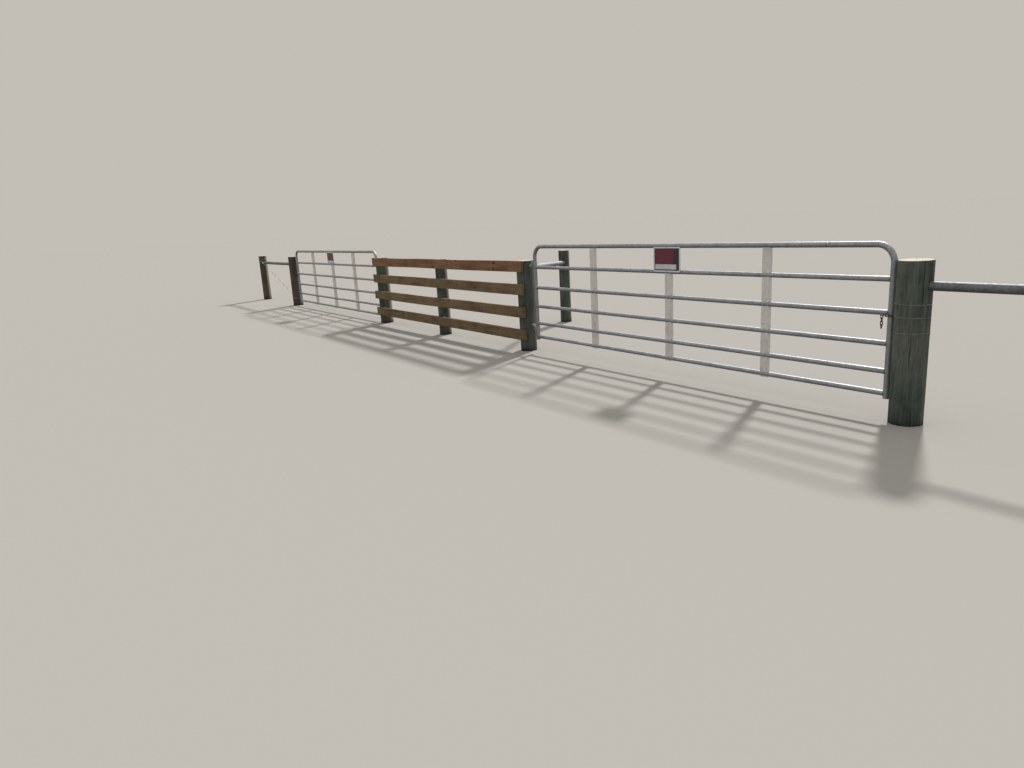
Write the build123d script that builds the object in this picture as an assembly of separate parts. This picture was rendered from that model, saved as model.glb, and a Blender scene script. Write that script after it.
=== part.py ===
from build123d import *
from math import atan2, cos, degrees, pi, radians, sin, sqrt
import os

# A farm road gateway: two tubular steel field gates hung either side of a four-board fence,
# on round timber posts, with a braced post at each end of the line and one behind it.
# Millimetres. The origin is at the centre of the foot of the post that carries the near gate.
# +X runs along the line to the near gate's free end, +Y into the field, +Z up.

# Seats and running clearances
seat_gap = 0.3
pin_clearance = 0.5
near_latch_gap = 12.0
far_latch_gap = 145.0

# Small bars and tubes have flat sides, with their corners on the stated diameter
tube_sides = 12
saddle_sides = 8
wire_sides = 6
wire_turn_sides = 12
notch_sides = 24
bend_steps = 3

# The fence line
hinge_gap = 89.6
brace_bay = 2720.0
back_bay_angle = 40.0

# Round timber posts, with their heights above the ground
hinge_post_d = 240.0
middle_post_d = 200.0
near_latch_post_d = 262.0
far_latch_post_d = 245.0
left_brace_post_d = 215.0
brace_post_d = 190.0
hinge_post_height = 1250.0
near_latch_post_height = 1320.0
far_latch_post_height = 1230.0
back_post_height = 1250.0

# Steel pipe brace rails, at the level of their axes, and the brace wire
brace_pipe_d = 73.0
brace_pipe_wall = 4.0
left_rail_level = 1038.0
right_rail_level = 1117.0
back_rail_level = 1147.0
back_rail_fall = 115.0
wire_d = 9.0
wire_high_below_top = 110.0
wire_low = 190.0
wire_leave_angle = 60.0

# Boards nailed to the road side of three posts
board_length = 4940.0
board_height = 140.0
board_thickness = 38.0
board_pitch = 312.0
board_count = 4
board_past_right_post = 120.0
board_past_left_post = 100.0

# The gates, from the centre of one end upright to the other
gate_span = 4830.0
rail_6_level = 0.0
rail_5_level = 186.0
rail_4_level = 419.0
rail_3_level = 673.0
rail_2_level = 945.0
top_rail_level = 1220.0
near_gate_lift = 215.0
far_gate_lift = 135.0
frame_tube_d = 50.8
rail_tube_d = 44.5
tube_wall = 1.6
corner_radius = 145.0
upright_tail = 42.0

# Upright channel stays that the rails thread through
stay_count = 3
stay_pitch = 1230.0
stay_width = 80.0
stay_front = 17.0
stay_depth = 45.0
stay_wall = 2.5
stay_tail = 30.0
saddle_width = 54.0

# Sign plate on the middle stay, its lower edge lapped over the saddle of the second rail
sign_width = 384.0
sign_height = 266.0
sign_plate = 1.5
sign_rim_width = 16.0
sign_rim_height = 3.0
sign_lap = 2.0

# Hinge straps on the gate and hook bolts in the post. The lower bolt's pin points down and the
# upper one's up, so that the gate can't be lifted off
lower_bolt_level = 148.0
upper_bolt_level = 960.0
pin_d = 19.0
pin_length = 68.0
pin_from_upright = 70.0
hook_reach = 12.0
hook_bolt_depth = 130.0
strap_height = 44.0
strap_wall = 6.0

# Chain that is stapled to the latch post and hangs over the free upright
link_wire_d = 7.0
link_inner_length = 27.0
link_width = 24.0
staple_reach = 16.0
chain_level = 655.0
chain_clearance = 12.0
near_chain_run_links = 3
near_chain_tail_links = 4
far_chain_run_links = 8
far_chain_tail_links = 2

# Places worked out from the sizes above
rail_levels = [rail_6_level, rail_5_level, rail_4_level, rail_3_level, rail_2_level]
hooks = [(lower_bolt_level, -1), (upper_bolt_level, 1)]
board_post_pitch = (board_length - board_past_right_post - board_past_left_post) / 2
pin_x = hinge_post_d / 2 + hinge_gap + frame_tube_d / 2 - pin_from_upright
near_gate_x = hinge_post_d / 2 + hinge_gap + frame_tube_d / 2
near_latch_post_x = near_gate_x + gate_span + frame_tube_d / 2 + near_latch_gap + near_latch_post_d / 2
left_board_post_x = -2 * board_post_pitch
far_gate_x = left_board_post_x - near_gate_x
far_latch_post_x = far_gate_x - gate_span - frame_tube_d / 2 - far_latch_gap - far_latch_post_d / 2
board_back = hinge_post_d / 2 + seat_gap


def save(node, shape):
    """Write one node as parts/NODE.step."""
    shape.label = node
    export_step(shape, f"parts/{node}.step")


def solid_of(shape):
    """The one solid that a boolean leaves."""
    solids = shape.solids()
    return solids[0] if len(solids) == 1 else Compound(children=list(solids))


def section(diameter, sides=tube_sides):
    """The outline of a bar or tube, with its corners on the stated diameter."""
    return RegularPolygon(diameter / 2, sides)


def clear_of(diameter):
    """The like outline that stands clear of a tube by seat_gap, measured on its flats."""
    return diameter + 2 * seat_gap / cos(pi / tube_sides)


def bar(start, end, outline):
    """A straight bar of one outline between two points, an outline corner kept to the road side."""
    start, end = Vector(*start), Vector(*end)
    run = end - start
    return extrude(Plane(origin=start, x_dir=(0, 1, 0), z_dir=run) * outline, run.length)


def across_gate(level, outline, start_x=0, end_x=gate_span):
    """A bar of one outline along the gate at one level."""
    return bar((start_x, 0, level), (end_x, 0, level), outline)


def post(x, y, diameter, height):
    """A round timber post standing on the ground, cut off square at the top."""
    foot = (Align.CENTER, Align.CENTER, Align.MIN)
    return Pos(x, y, 0) * Rot(0, 0, 90) * Cylinder(diameter / 2, height, align=foot)


def brace_rail(start, end, start_post_d, end_post_d):
    """A steel pipe between two posts, its ends notched to sit on them."""
    pipe = bar(start, end, section(brace_pipe_d))
    pipe -= bar(start, end, section(brace_pipe_d - 2 * brace_pipe_wall))
    heading = degrees(atan2(end[1] - start[1], end[0] - start[0]))
    for (x, y, level), diameter in ((start, start_post_d), (end, end_post_d)):
        notch = RegularPolygon(diameter / 2 + seat_gap, notch_sides, major_radius=False, rotation=heading)
        pipe -= Pos(x, y, 0) * extrude(notch, 2 * level)
    return solid_of(pipe)


def wire_turn(x, post_d, level):
    """One turn of wire round a post, as a ring of short straight pieces."""
    flat_r = post_d / 2 + seat_gap + wire_d / 2
    corner_r = flat_r / cos(pi / wire_turn_sides)
    angles = [2 * pi * step / wire_turn_sides for step in range(wire_turn_sides)]
    points = [(x + corner_r * cos(angle), corner_r * sin(angle), level) for angle in angles]
    path = Polyline(*points, close=True)
    start = Plane(origin=path @ 0, x_dir=(0, 0, 1), z_dir=path % 0)
    return sweep(start * section(wire_d, wire_sides), path=path, transition=Transition.RIGHT)


def brace_wire(outer_x, inner_x):
    """The diagonal stay: one turn high on the outer brace post and one low on the latch post.
    Between them the wire passes the brace rail on its road side."""
    high = far_latch_post_height - wire_high_below_top
    outer_r = left_brace_post_d / 2 + seat_gap + wire_d / 2
    inner_r = far_latch_post_d / 2 + seat_gap + wire_d / 2
    leave = radians(wire_leave_angle)
    start = (outer_x + outer_r * cos(leave), -outer_r * sin(leave), high)
    wire = bar(start, (inner_x - inner_r, 0, wire_low), section(wire_d, wire_sides))
    wire += wire_turn(outer_x, left_brace_post_d, high)
    wire += wire_turn(inner_x, far_latch_post_d, wire_low)
    return solid_of(wire)


def board(number):
    """One flat board, counted from the top."""
    top = hinge_post_height - number * board_pitch
    return Pos(board_past_right_post, -board_back, top) * Box(
        board_length, board_thickness, board_height, align=(Align.MAX, Align.MAX, Align.MAX)
    )


def frame_sweep(diameter):
    """A solid bar along the gate's outer frame: up, over and down, with bent corners."""
    path = FilletPolyline(
        (0, 0, -upright_tail),
        (0, 0, top_rail_level),
        (gate_span, 0, top_rail_level),
        (gate_span, 0, -upright_tail),
        radius=corner_radius,
    )
    return sweep(Plane(origin=(0, 0, -upright_tail)) * section(diameter), path=path)


def gate_frame():
    """The frame tube, open at both feet."""
    return solid_of(frame_sweep(frame_tube_d) - frame_sweep(frame_tube_d - 2 * tube_wall))


def gate_rail(level):
    """One rail tube, its ends hollowed to sit on the uprights."""
    tube = across_gate(level, section(rail_tube_d))
    tube -= across_gate(level, section(rail_tube_d - 2 * tube_wall))
    for x in (0, gate_span):
        tube -= Pos(x, 0, level) * extrude(section(clear_of(frame_tube_d)), rail_tube_d, both=True)
    return solid_of(tube)


def saddle_outline(reach):
    """A flat-sided outline round a rail, with a flat to the road, at the stated reach."""
    return RegularPolygon(reach, saddle_sides, major_radius=False, rotation=180 / saddle_sides)


def gate_stay(number):
    """A channel stay with its web to the road, pressed out in a saddle over each rail, and
    holes in its two sides that the rails thread through."""
    x = gate_span / 2 + stay_pitch * (number - (stay_count + 1) / 2)
    left, right = x - stay_width / 2, x + stay_width / 2
    height = top_rail_level + stay_tail
    low = (Align.CENTER, Align.MIN, Align.MIN)
    outer = Pos(x, -stay_front, -stay_tail) * Box(stay_width, stay_depth, height, align=low)
    inner = Pos(x, -stay_front + stay_wall, -stay_tail) * Box(
        stay_width - 2 * stay_wall, stay_depth, height, align=low
    )
    channel = outer - inner
    hole_reach = rail_tube_d / 2 + seat_gap
    saddle_reach = hole_reach + stay_wall
    front = (Align.CENTER, Align.MAX, Align.CENTER)
    for level in rail_levels:
        shell = across_gate(level, saddle_outline(saddle_reach), x - saddle_width / 2, x + saddle_width / 2)
        keep = Pos(x, -stay_front + stay_wall, level) * Box(
            saddle_width, saddle_reach, 2 * saddle_reach, align=front
        )
        channel += shell & keep
    for level in rail_levels:
        channel -= across_gate(level, saddle_outline(hole_reach), left, right)
    channel -= across_gate(top_rail_level, section(clear_of(frame_tube_d)), left, right)
    return solid_of(channel)


def gate_sign():
    """A blank plate with a raised rim, fixed to the road side of the middle stay."""
    back = rail_tube_d / 2 + seat_gap + stay_wall + seat_gap
    low_edge = rail_levels[-1] - sign_lap
    front = (Align.CENTER, Align.MAX, Align.MIN)
    rim_depth = sign_plate + sign_rim_height
    centre = gate_span / 2
    rim = Pos(centre, -back, low_edge) * Box(sign_width, rim_depth, sign_height, align=front)
    field = Pos(centre, -back - sign_plate, low_edge + sign_rim_width) * Box(
        sign_width - 2 * sign_rim_width, rim_depth, sign_height - 2 * sign_rim_width, align=front
    )
    return solid_of(rim - field)


def hinge_strap(bolt_level, way):
    """A flat bar bent round the upright and back on itself into an eye for the pin."""
    level = bolt_level + way * (hook_reach + seat_gap + strap_height / 2)
    eye_r = pin_d / 2 + pin_clearance
    eye = Pos(-pin_from_upright, 0)
    outline = section(clear_of(frame_tube_d) + 2 * strap_wall)
    outline += eye * RegularPolygon(eye_r + strap_wall, tube_sides, major_radius=False)
    outline += Pos(-pin_from_upright / 2, 0) * Rectangle(pin_from_upright, 2 * strap_wall)
    outline -= section(clear_of(frame_tube_d))
    outline -= eye * RegularPolygon(eye_r, tube_sides, major_radius=False)
    return Pos(0, 0, level - strap_height / 2) * solid_of(extrude(outline, strap_height))


def hinge_straps():
    return Compound(children=[hinge_strap(bolt_level, way) for bolt_level, way in hooks])


def hook_bolt(bolt_level, way):
    """A bolt out of the post, bent square into the pin that an eye turns on."""
    root_x = -near_gate_x + hinge_post_d / 2 - hook_bolt_depth
    points = [(root_x, 0, bolt_level)]
    for step in range(bend_steps + 1):
        angle = pi / 2 * step / bend_steps
        x = -pin_from_upright - hook_reach * (1 - sin(angle))
        points.append((x, 0, bolt_level + way * hook_reach * (1 - cos(angle))))
    points.append((-pin_from_upright, 0, bolt_level + way * (hook_reach + pin_length)))
    path = Polyline(*points)
    start = Plane(origin=path @ 0, x_dir=(0, 1, 0), z_dir=path % 0)
    return sweep(start * section(pin_d), path=path, transition=Transition.RIGHT)


def hook_bolts():
    return Compound(children=[hook_bolt(bolt_level, way) for bolt_level, way in hooks])


def bolt_holes(lift, mirrored):
    """The two blind holes that the hook bolts sit in."""
    holes = []
    for bolt_level, _ in hooks:
        z = lift + bolt_level
        bottom_x = hinge_post_d / 2 - hook_bolt_depth - seat_gap
        hole = bar((bottom_x, 0, z), (hinge_post_d, 0, z), section(clear_of(pin_d)))
        holes.append(mirror(hole, Plane.YZ) if mirrored else hole)
    return holes


def chain_link(centre, along, across, stretch=0):
    """One welded oval link: its long axis along, its flat facing across."""
    bend_r = (link_width - link_wire_d) / 2
    straight = (link_inner_length + link_wire_d) / 2 + stretch - bend_r
    points = []
    for way in (1, -1):
        for step in range(bend_steps + 1):
            angle = pi * step / bend_steps - pi / 2
            points.append((way * (straight + bend_r * cos(angle)), way * bend_r * sin(angle)))
    path = Plane(origin=centre, x_dir=along, z_dir=across) * Polyline(*points, close=True)
    start = Plane(origin=path @ 0, x_dir=across, z_dir=path % 0)
    return sweep(start * section(link_wire_d, wire_sides), path=path, transition=Transition.RIGHT)


def gate_chain(post_d, gap, run_links, tail_links):
    """The chain of one gate, about the gate: a staple in the latch post, a run across the
    road side of the free upright, and a tail that hangs down beside it."""
    run_y = -(frame_tube_d / 2 + chain_clearance + link_width / 2)
    post_x = gate_span + frame_tube_d / 2 + gap + post_d / 2
    post_face_x = post_x - sqrt((post_d / 2) ** 2 - run_y**2)
    step = link_inner_length - seat_gap
    along, upright = (-1, 0, 0), (0, 0, 1)
    sideways = (0, 1, 0)

    tip_x = post_face_x - staple_reach
    link_half = (link_inner_length + link_wire_d) / 2
    staple = chain_link((tip_x + link_half + link_width, run_y, chain_level), along, sideways, link_width)
    bore = Pos(post_x, 0, chain_level) * Cylinder(post_d / 2 + seat_gap, 4 * link_width)
    links = [solid_of(staple - bore)]

    x = tip_x + link_wire_d / 2 - link_inner_length / 2 + seat_gap
    for number in range(run_links):
        links.append(chain_link((x, run_y, chain_level), along, sideways if number % 2 else upright))
        x -= step
    hang_x = x + step - link_half
    z = chain_level + link_wire_d / 2 + seat_gap - link_inner_length / 2
    for number in range(tail_links):
        links.append(chain_link((hang_x, run_y, z), upright, along if number % 2 else sideways))
        z -= step
    return Compound(children=links)


def gate_pieces(prefix, place, chain):
    """Write every piece of one gate and its chain, put in place by the function place."""
    save(f"{prefix}_gate_frame", place(gate_frame()))
    for number, level in enumerate(reversed(rail_levels), start=2):
        save(f"{prefix}_gate_rail_{number}", place(gate_rail(level)))
    for number in range(1, stay_count + 1):
        save(f"{prefix}_gate_stay_{number}", place(gate_stay(number)))
    save(f"{prefix}_gate_sign", place(gate_sign()))
    save(f"{prefix}_gate_hinge_straps", place(hinge_straps()))
    save(f"{prefix}_gate_hook_bolts", place(hook_bolts()))
    save(f"{prefix}_gate_chain", place(chain))


def place_near(shape):
    return Pos(near_gate_x, 0, near_gate_lift) * shape


def place_far(shape):
    return Pos(far_gate_x, 0, far_gate_lift) * mirror(shape, Plane.YZ)


def drilled(shape, x, holes):
    """A post at x with its bolt holes, which are given about its own axis."""
    for hole in holes:
        shape -= Pos(x, 0, 0) * hole
    return solid_of(shape)


os.makedirs("parts", exist_ok=True)

left_brace_x = far_latch_post_x - brace_bay
right_brace_x = near_latch_post_x + brace_bay
back_x = -brace_bay * sin(radians(back_bay_angle))
back_y = brace_bay * cos(radians(back_bay_angle))
middle_post_y = -(hinge_post_d - middle_post_d) / 2

save("hinge_post", drilled(post(0, 0, hinge_post_d, hinge_post_height), 0, bolt_holes(near_gate_lift, False)))
save(
    "board_post_left",
    drilled(
        post(left_board_post_x, 0, hinge_post_d, hinge_post_height),
        left_board_post_x,
        bolt_holes(far_gate_lift, True),
    ),
)
save("board_post_middle", post(-board_post_pitch, middle_post_y, middle_post_d, hinge_post_height))
save("near_latch_post", post(near_latch_post_x, 0, near_latch_post_d, near_latch_post_height))
save("far_latch_post", post(far_latch_post_x, 0, far_latch_post_d, far_latch_post_height))
save("left_brace_post", post(left_brace_x, 0, left_brace_post_d, far_latch_post_height))
save("right_brace_post", post(right_brace_x, 0, brace_post_d, near_latch_post_height))
save("back_brace_post", post(back_x, back_y, brace_post_d, back_post_height))

save(
    "left_brace_rail",
    brace_rail(
        (left_brace_x, 0, left_rail_level),
        (far_latch_post_x, 0, left_rail_level),
        left_brace_post_d,
        far_latch_post_d,
    ),
)
save(
    "right_brace_rail",
    brace_rail(
        (near_latch_post_x, 0, right_rail_level),
        (right_brace_x, 0, right_rail_level),
        near_latch_post_d,
        brace_post_d,
    ),
)
save(
    "back_brace_rail",
    brace_rail(
        (0, 0, back_rail_level),
        (back_x, back_y, back_rail_level - back_rail_fall),
        hinge_post_d,
        brace_post_d,
    ),
)
save("left_brace_wire", brace_wire(left_brace_x, far_latch_post_x))

for number in range(board_count):
    save(f"fence_board_{number + 1}", board(number))

gate_pieces(
    "near",
    place_near,
    gate_chain(near_latch_post_d, near_latch_gap, near_chain_run_links, near_chain_tail_links),
)
gate_pieces(
    "far",
    place_far,
    gate_chain(far_latch_post_d, far_latch_gap, far_chain_run_links, far_chain_tail_links),
)
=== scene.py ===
from math import cos, exp, pi, radians, sin, sqrt
from random import Random

import bmesh
import bpy
from mathutils import Matrix, Vector, noise


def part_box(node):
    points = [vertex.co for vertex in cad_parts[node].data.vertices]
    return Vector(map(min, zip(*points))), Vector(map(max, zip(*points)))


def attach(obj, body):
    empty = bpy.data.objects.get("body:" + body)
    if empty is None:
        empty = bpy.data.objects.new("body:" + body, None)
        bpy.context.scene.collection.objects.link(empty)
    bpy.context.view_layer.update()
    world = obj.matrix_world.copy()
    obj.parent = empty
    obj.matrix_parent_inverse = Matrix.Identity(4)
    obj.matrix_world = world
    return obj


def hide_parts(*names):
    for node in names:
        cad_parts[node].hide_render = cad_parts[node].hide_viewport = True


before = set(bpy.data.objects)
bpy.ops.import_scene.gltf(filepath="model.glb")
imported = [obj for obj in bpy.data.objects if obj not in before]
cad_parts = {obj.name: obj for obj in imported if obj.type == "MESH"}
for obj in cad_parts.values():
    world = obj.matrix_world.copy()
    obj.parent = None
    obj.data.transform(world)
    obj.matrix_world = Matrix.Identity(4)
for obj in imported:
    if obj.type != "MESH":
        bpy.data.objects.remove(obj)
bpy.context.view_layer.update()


# Round timber posts.
# Pine poles, peeled, dried and pressure treated, which leaves them a dull grey green. Each is sawn
# off square at the top and opens in long checks as it dries. Soil clings to the foot.


def linear(hex_colour):
    """An sRGB hex colour as the linear colour that a shader takes."""
    channels = [int(hex_colour[at : at + 2], 16) / 255 for at in (1, 3, 5)]
    return [c / 12.92 if c <= 0.04045 else ((c + 0.055) / 1.055) ** 2.4 for c in channels] + [1.0]


def add(material, kind, inputs=(), stops=(), **settings):
    """Add one shader node: its settings, and its inputs as values or hex colours, or as the sockets
    or nodes that feed them. A node feeds them by its first live output."""
    made = material.node_tree.nodes.new("ShaderNode" + kind)
    for setting, value in settings.items():
        setattr(made, setting, value)
    for socket, value in dict(inputs).items():
        if isinstance(value, str):
            value = linear(value)
        if isinstance(value, bpy.types.Node):
            value = next(output for output in value.outputs if output.enabled)
        if isinstance(value, bpy.types.NodeSocket):
            material.node_tree.links.new(value, made.inputs[socket])
        else:
            made.inputs[socket].default_value = value
    for number, (position, value) in enumerate(stops):
        ramp = made.color_ramp.elements
        stop = ramp[number] if number < 2 else ramp.new(position)
        stop.position, stop.color = position, (value,) * 3 + (1.0,)
    return made


def finish_named(name):
    """An empty finish, ready for its nodes."""
    finish = bpy.data.materials.new(name)
    finish.use_nodes = True
    finish.node_tree.nodes.clear()
    return finish


def treated_pine(name, face, streak, weathered, knot, wet="#1f211c", sunlit_tone="#9a9485"):
    """Pressure treated pine: matt, with fibres a few millimetres wide along the grain, broad soft
    streaks where the sap wood took more of the salts, a dark knot here and there, and a pale side
    that is painted sunlight and also stands for sun bleaching."""
    wood = finish_named(name)
    grain = add(wood, "Attribute", attribute_name="grain").outputs["Vector"]

    # Fibres 3 mm wide and forty times as long, streaks 40 mm wide, and patches half a metre across
    along = add(wood, "Mapping", {"Vector": grain, "Scale": (1, 1, 0.025)})
    fibre = add(wood, "TexNoise", {"Vector": along, "Scale": 330.0, "Detail": 4.0, "Roughness": 0.6})
    broad = add(wood, "Mapping", {"Vector": grain, "Scale": (1, 1, 0.09)})
    band = add(wood, "TexNoise", {"Vector": broad, "Scale": 25.0, "Detail": 5.0, "Roughness": 0.62})
    patch = add(wood, "TexNoise", {"Vector": grain, "Scale": 2.4, "Detail": 4.0, "Roughness": 0.65})

    # Knots about 30 mm across, some 250 mm apart, drawn out a little along the grain
    near = add(wood, "Mapping", {"Vector": grain, "Scale": (1, 1, 0.62)})
    spot = add(wood, "TexVoronoi", {"Vector": near, "Scale": 5.2, "Randomness": 1.0})
    knots = add(wood, "ValToRGB", {"Fac": spot}, [(0.07, 0.85), (0.12, 0.0)])

    # Drying splits, real hairlines that are drawn up to 2 mm wide so that they show
    split = add(wood, "TexNoise", {"Vector": along, "Scale": 70.0, "Detail": 3.0, "Roughness": 0.55})
    thin = add(wood, "ValToRGB", {"Fac": split}, [(0.485, 0.0), (0.5, 1.0), (0.515, 0.0)])

    bands = add(wood, "ValToRGB", {"Fac": band}, [(0.36, 0.0), (0.66, 1.0)])
    fibres = add(wood, "ValToRGB", {"Fac": fibre}, [(0.35, 0.0), (0.68, 1.0)])
    patches = add(wood, "ValToRGB", {"Fac": patch}, [(0.38, 0.0), (0.68, 1.0)])
    tone = add(wood, "Mix", {0: bands, 6: streak, 7: face}, data_type="RGBA")
    grey = add(wood, "Math", {0: patches, 1: 0.7}, operation="MULTIPLY")
    tone = add(wood, "Mix", {0: grey, 6: tone, 7: weathered}, data_type="RGBA")
    line = add(wood, "Math", {0: fibres, 1: 0.42}, operation="MULTIPLY")
    dark = add(wood, "Mix", {0: line, 6: tone, 7: streak}, data_type="RGBA")
    dark = add(wood, "Mix", {0: knots, 6: dark, 7: knot}, data_type="RGBA")
    open_split = add(wood, "Math", {0: thin, 1: patches}, operation="MULTIPLY")
    hairs = add(wood, "Math", {0: open_split, 1: 0.7}, operation="MULTIPLY")

    # Painted sunlight on the side toward the lamp, also standing for sun bleaching, laid on the mesh and
    # broken where the streaks run
    sun = add(wood, "Attribute", attribute_name="painted_sunlit_side").outputs["Fac"]
    worn = add(wood, "MapRange", {"Value": bands, "To Min": 0.55, "To Max": 1.0})
    sun = add(wood, "Math", {0: sun, 1: worn}, operation="MULTIPLY")
    dark = add(wood, "Mix", {0: sun, 6: dark, 7: sunlit_tone}, data_type="RGBA")

    dark = add(wood, "Mix", {0: hairs, 6: dark, 7: wet}, data_type="RGBA")

    # Soil and damp, painted on the mesh where the piece meets the ground
    soil = add(wood, "Attribute", attribute_name="soil").outputs["Fac"]
    damp = add(wood, "Math", {0: soil, 1: patches}, operation="ADD")
    damp = add(wood, "Math", {0: damp, 1: soil}, operation="MULTIPLY", use_clamp=True)
    colour = add(wood, "Mix", {0: damp, 6: dark, 7: wet}, data_type="RGBA")

    height = add(wood, "Math", {0: fibre, 1: band}, operation="ADD")
    height = add(wood, "Math", {0: height, 1: open_split}, operation="SUBTRACT")
    relief = add(wood, "Bump", {"Height": height, "Strength": 0.7, "Distance": 0.0016})
    dull = add(wood, "MapRange", {"Value": band, "To Min": 0.74, "To Max": 0.95})
    look = {"Base Color": colour, "Roughness": dull, "Specular IOR Level": 0.3, "Normal": relief}
    add(wood, "OutputMaterial", {"Surface": add(wood, "BsdfPrincipled", look)})
    return wood


def sawn_end(name, face, ring):
    """End grain off a chain saw: pale, with growth rings 6 mm apart and rough tooth marks."""
    wood = finish_named(name)
    grain = add(wood, "Attribute", attribute_name="grain").outputs["Vector"]
    flat = add(wood, "Mapping", {"Vector": grain, "Scale": (1, 1, 0)})
    wave = {"Vector": flat, "Scale": 52.0, "Distortion": 2.2, "Detail": 2.0, "Detail Scale": 0.6}
    rings = add(wood, "TexWave", wave, wave_type="RINGS", rings_direction="Z").outputs["Fac"]
    tooth = add(wood, "Mapping", {"Vector": grain, "Scale": (1, 0.06, 1)})
    marks = add(wood, "TexNoise", {"Vector": tooth, "Scale": 240.0, "Detail": 2.0})
    stain = add(wood, "TexNoise", {"Vector": grain, "Scale": 16.0, "Detail": 4.0})
    late = add(wood, "Math", {0: rings, 1: 0.55}, operation="MULTIPLY")
    colour = add(wood, "Mix", {0: late, 6: face, 7: ring}, data_type="RGBA")
    grey = add(wood, "ValToRGB", {"Fac": stain}, [(0.45, 0.0), (0.75, 0.6)])
    colour = add(wood, "Mix", {0: grey, 6: colour, 7: ring}, data_type="RGBA")
    height = add(wood, "Math", {0: marks, 1: rings}, operation="ADD")
    relief = add(wood, "Bump", {"Height": height, "Strength": 0.6, "Distance": 0.001})
    look = {"Base Color": colour, "Roughness": 0.9, "Specular IOR Level": 0.25, "Normal": relief}
    add(wood, "OutputMaterial", {"Surface": add(wood, "BsdfPrincipled", look)})
    return wood


def skin(rings, capped=True, looped=False):
    """The points and faces of a skin drawn over rings of points, from one ring to the next."""
    count = len(rings[0])
    points = [Vector(point) for ring in rings for point in ring]
    faces = []
    for level in range(len(rings) if looped else len(rings) - 1):
        here, there = level * count, (level + 1) % len(rings) * count
        for side in range(count):
            beside = (side + 1) % count
            faces.append((here + side, here + beside, there + beside, there + side))
    if capped and not looped:
        faces.append(tuple(reversed(range(count))))
        faces.append(tuple(range(len(points) - count, len(points))))
    return points, faces


def placed(name, data):
    """A new object in the scene that shows this data."""
    made = bpy.data.objects.new(name, data)
    bpy.context.scene.collection.objects.link(made)
    return made


def solid(name, skins, finishes, place=None, crease=38, finish_of=()):
    """One object from one or more skins, smooth but for its edges sharper than the crease."""
    mesh = bpy.data.meshes.new(name)
    points, faces = [], []
    for more_points, more_faces in skins:
        faces += [[len(points) + corner for corner in face] for face in more_faces]
        points += more_points
    mesh.from_pydata(points, [], faces)
    for finish in finishes:
        mesh.materials.append(finish)
    if finish_of:
        mesh.polygons.foreach_set("material_index", finish_of)
    shape = bmesh.new()
    shape.from_mesh(mesh)
    bmesh.ops.recalc_face_normals(shape, faces=shape.faces)
    shape.to_mesh(mesh)
    shape.free()
    mesh.shade_smooth()
    mesh.set_sharp_from_angle(angle=radians(crease))
    made = placed(name, mesh)
    if place is not None:
        made.matrix_world = place
    return made


def give_grain(timber, number, soil=None, painted_sunlit_side=None):
    """Write how the grain runs in a timber, along its own Z, where it is soiled, and where it is painted
    with sunlight. The number sets pieces apart."""
    mesh = timber.data
    places = [vertex.co + Vector((0, 0, 20.0 * number)) for vertex in mesh.vertices]
    grain = mesh.attributes.new("grain", "FLOAT_VECTOR", "POINT")
    grain.data.foreach_set("vector", [value for spot in places for value in spot])
    for name, amount in (("soil", soil), ("painted_sunlit_side", painted_sunlit_side)):
        shares = [amount(vertex.co) if amount else 0.0 for vertex in mesh.vertices]
        mesh.attributes.new(name, "FLOAT", "POINT").data.foreach_set("value", shares)


def angles(sides):
    """The angles of points spaced evenly round a circle."""
    return [2 * pi * side / sides for side in range(sides)]


def ripple(angle, z, seed, around, along):
    """Smooth noise over a round timber, from -1 to 1."""
    return noise.noise(Vector((cos(angle) * around, sin(angle) * around, z * along + seed)))


post_sides, ring_pitch, rim = 72, 0.038, 0.0045
# A check keeps this angle clear beside it, opens over this length, is this wide where it is shut,
# and has its bottom and its two lips this small an angle apart in the order of points
check_room, check_run_out, closed_check, apart = 0.055, 0.12, 0.0006, 1e-4
wander, twist, peeled, swell, flutes = 0.035, 0.05, 0.0012, 0.0024, 0.0012


def round_post(radius, height, checks, seed, lean, taper):
    """Rings up a peeled post, over its eased rim and in across the sawn top. A check is its angle,
    its low and high end, its width and its depth."""
    free = angles(post_sides)
    spots = []
    for number, (angle, *_) in enumerate(checks):
        free = [a for a in free if abs((a - angle + pi) % (2 * pi) - pi) > check_room]
        spots += [(angle % (2 * pi) + side * apart, number, side) for side in (-1, 0, 1)]
    spots += [(a, None, 0) for a in free]
    spots.sort()

    def ring(z, inset=0.0, share=1.0, drop=0.0):
        points = []
        for angle, number, side in spots:
            sink = 0.0
            if number is not None:
                _, low, high, width, depth = checks[number]
                reach = max(0.0, min(1.0, (z - low) / check_run_out, (high - z) / check_run_out))
                angle += side * (closed_check + width / 2 * reach - apart * radius) / radius
                sink = depth * reach if side == 0 else 0.0
            turn = angle + wander * sin(2.6 * z + seed) + twist * z
            out = radius + taper * (z / height - 0.5) - peeled - inset - sink * share
            out += swell * ripple(turn, z, seed, 1.3, 1.1) + flutes * ripple(turn, z, seed, 5.0, 1.6)
            out *= share
            x, y = out * cos(turn), out * sin(turn)
            slope = lean[0] * x + lean[1] * y if z > height - 0.02 else 0.0
            notch = drop * sink * 2.2 if number is not None and side == 0 else 0.0
            points.append(Vector((x, y, z + slope - notch)))
        return points

    steps = max(8, round((height - 0.05) / ring_pitch))
    rings = [ring(0.0)]
    rings += [ring(0.02 + (height - 0.06) * step / steps) for step in range(steps + 1)]
    rings += [ring(height - down, inset) for down, inset in ((0.010, 0.0002), (0.006, 0.0018), (rim, 0.005))]
    sides = len(rings) - 1
    # Each ring's share of the radius, and how far the checks cut down into it
    across_top = ((0.8, 0.9), (0.55, 0.5), (0.25, 0.1))
    rings += [ring(height - rim, 0.005, share, drop) for share, drop in across_top]
    return rings, sides


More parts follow.
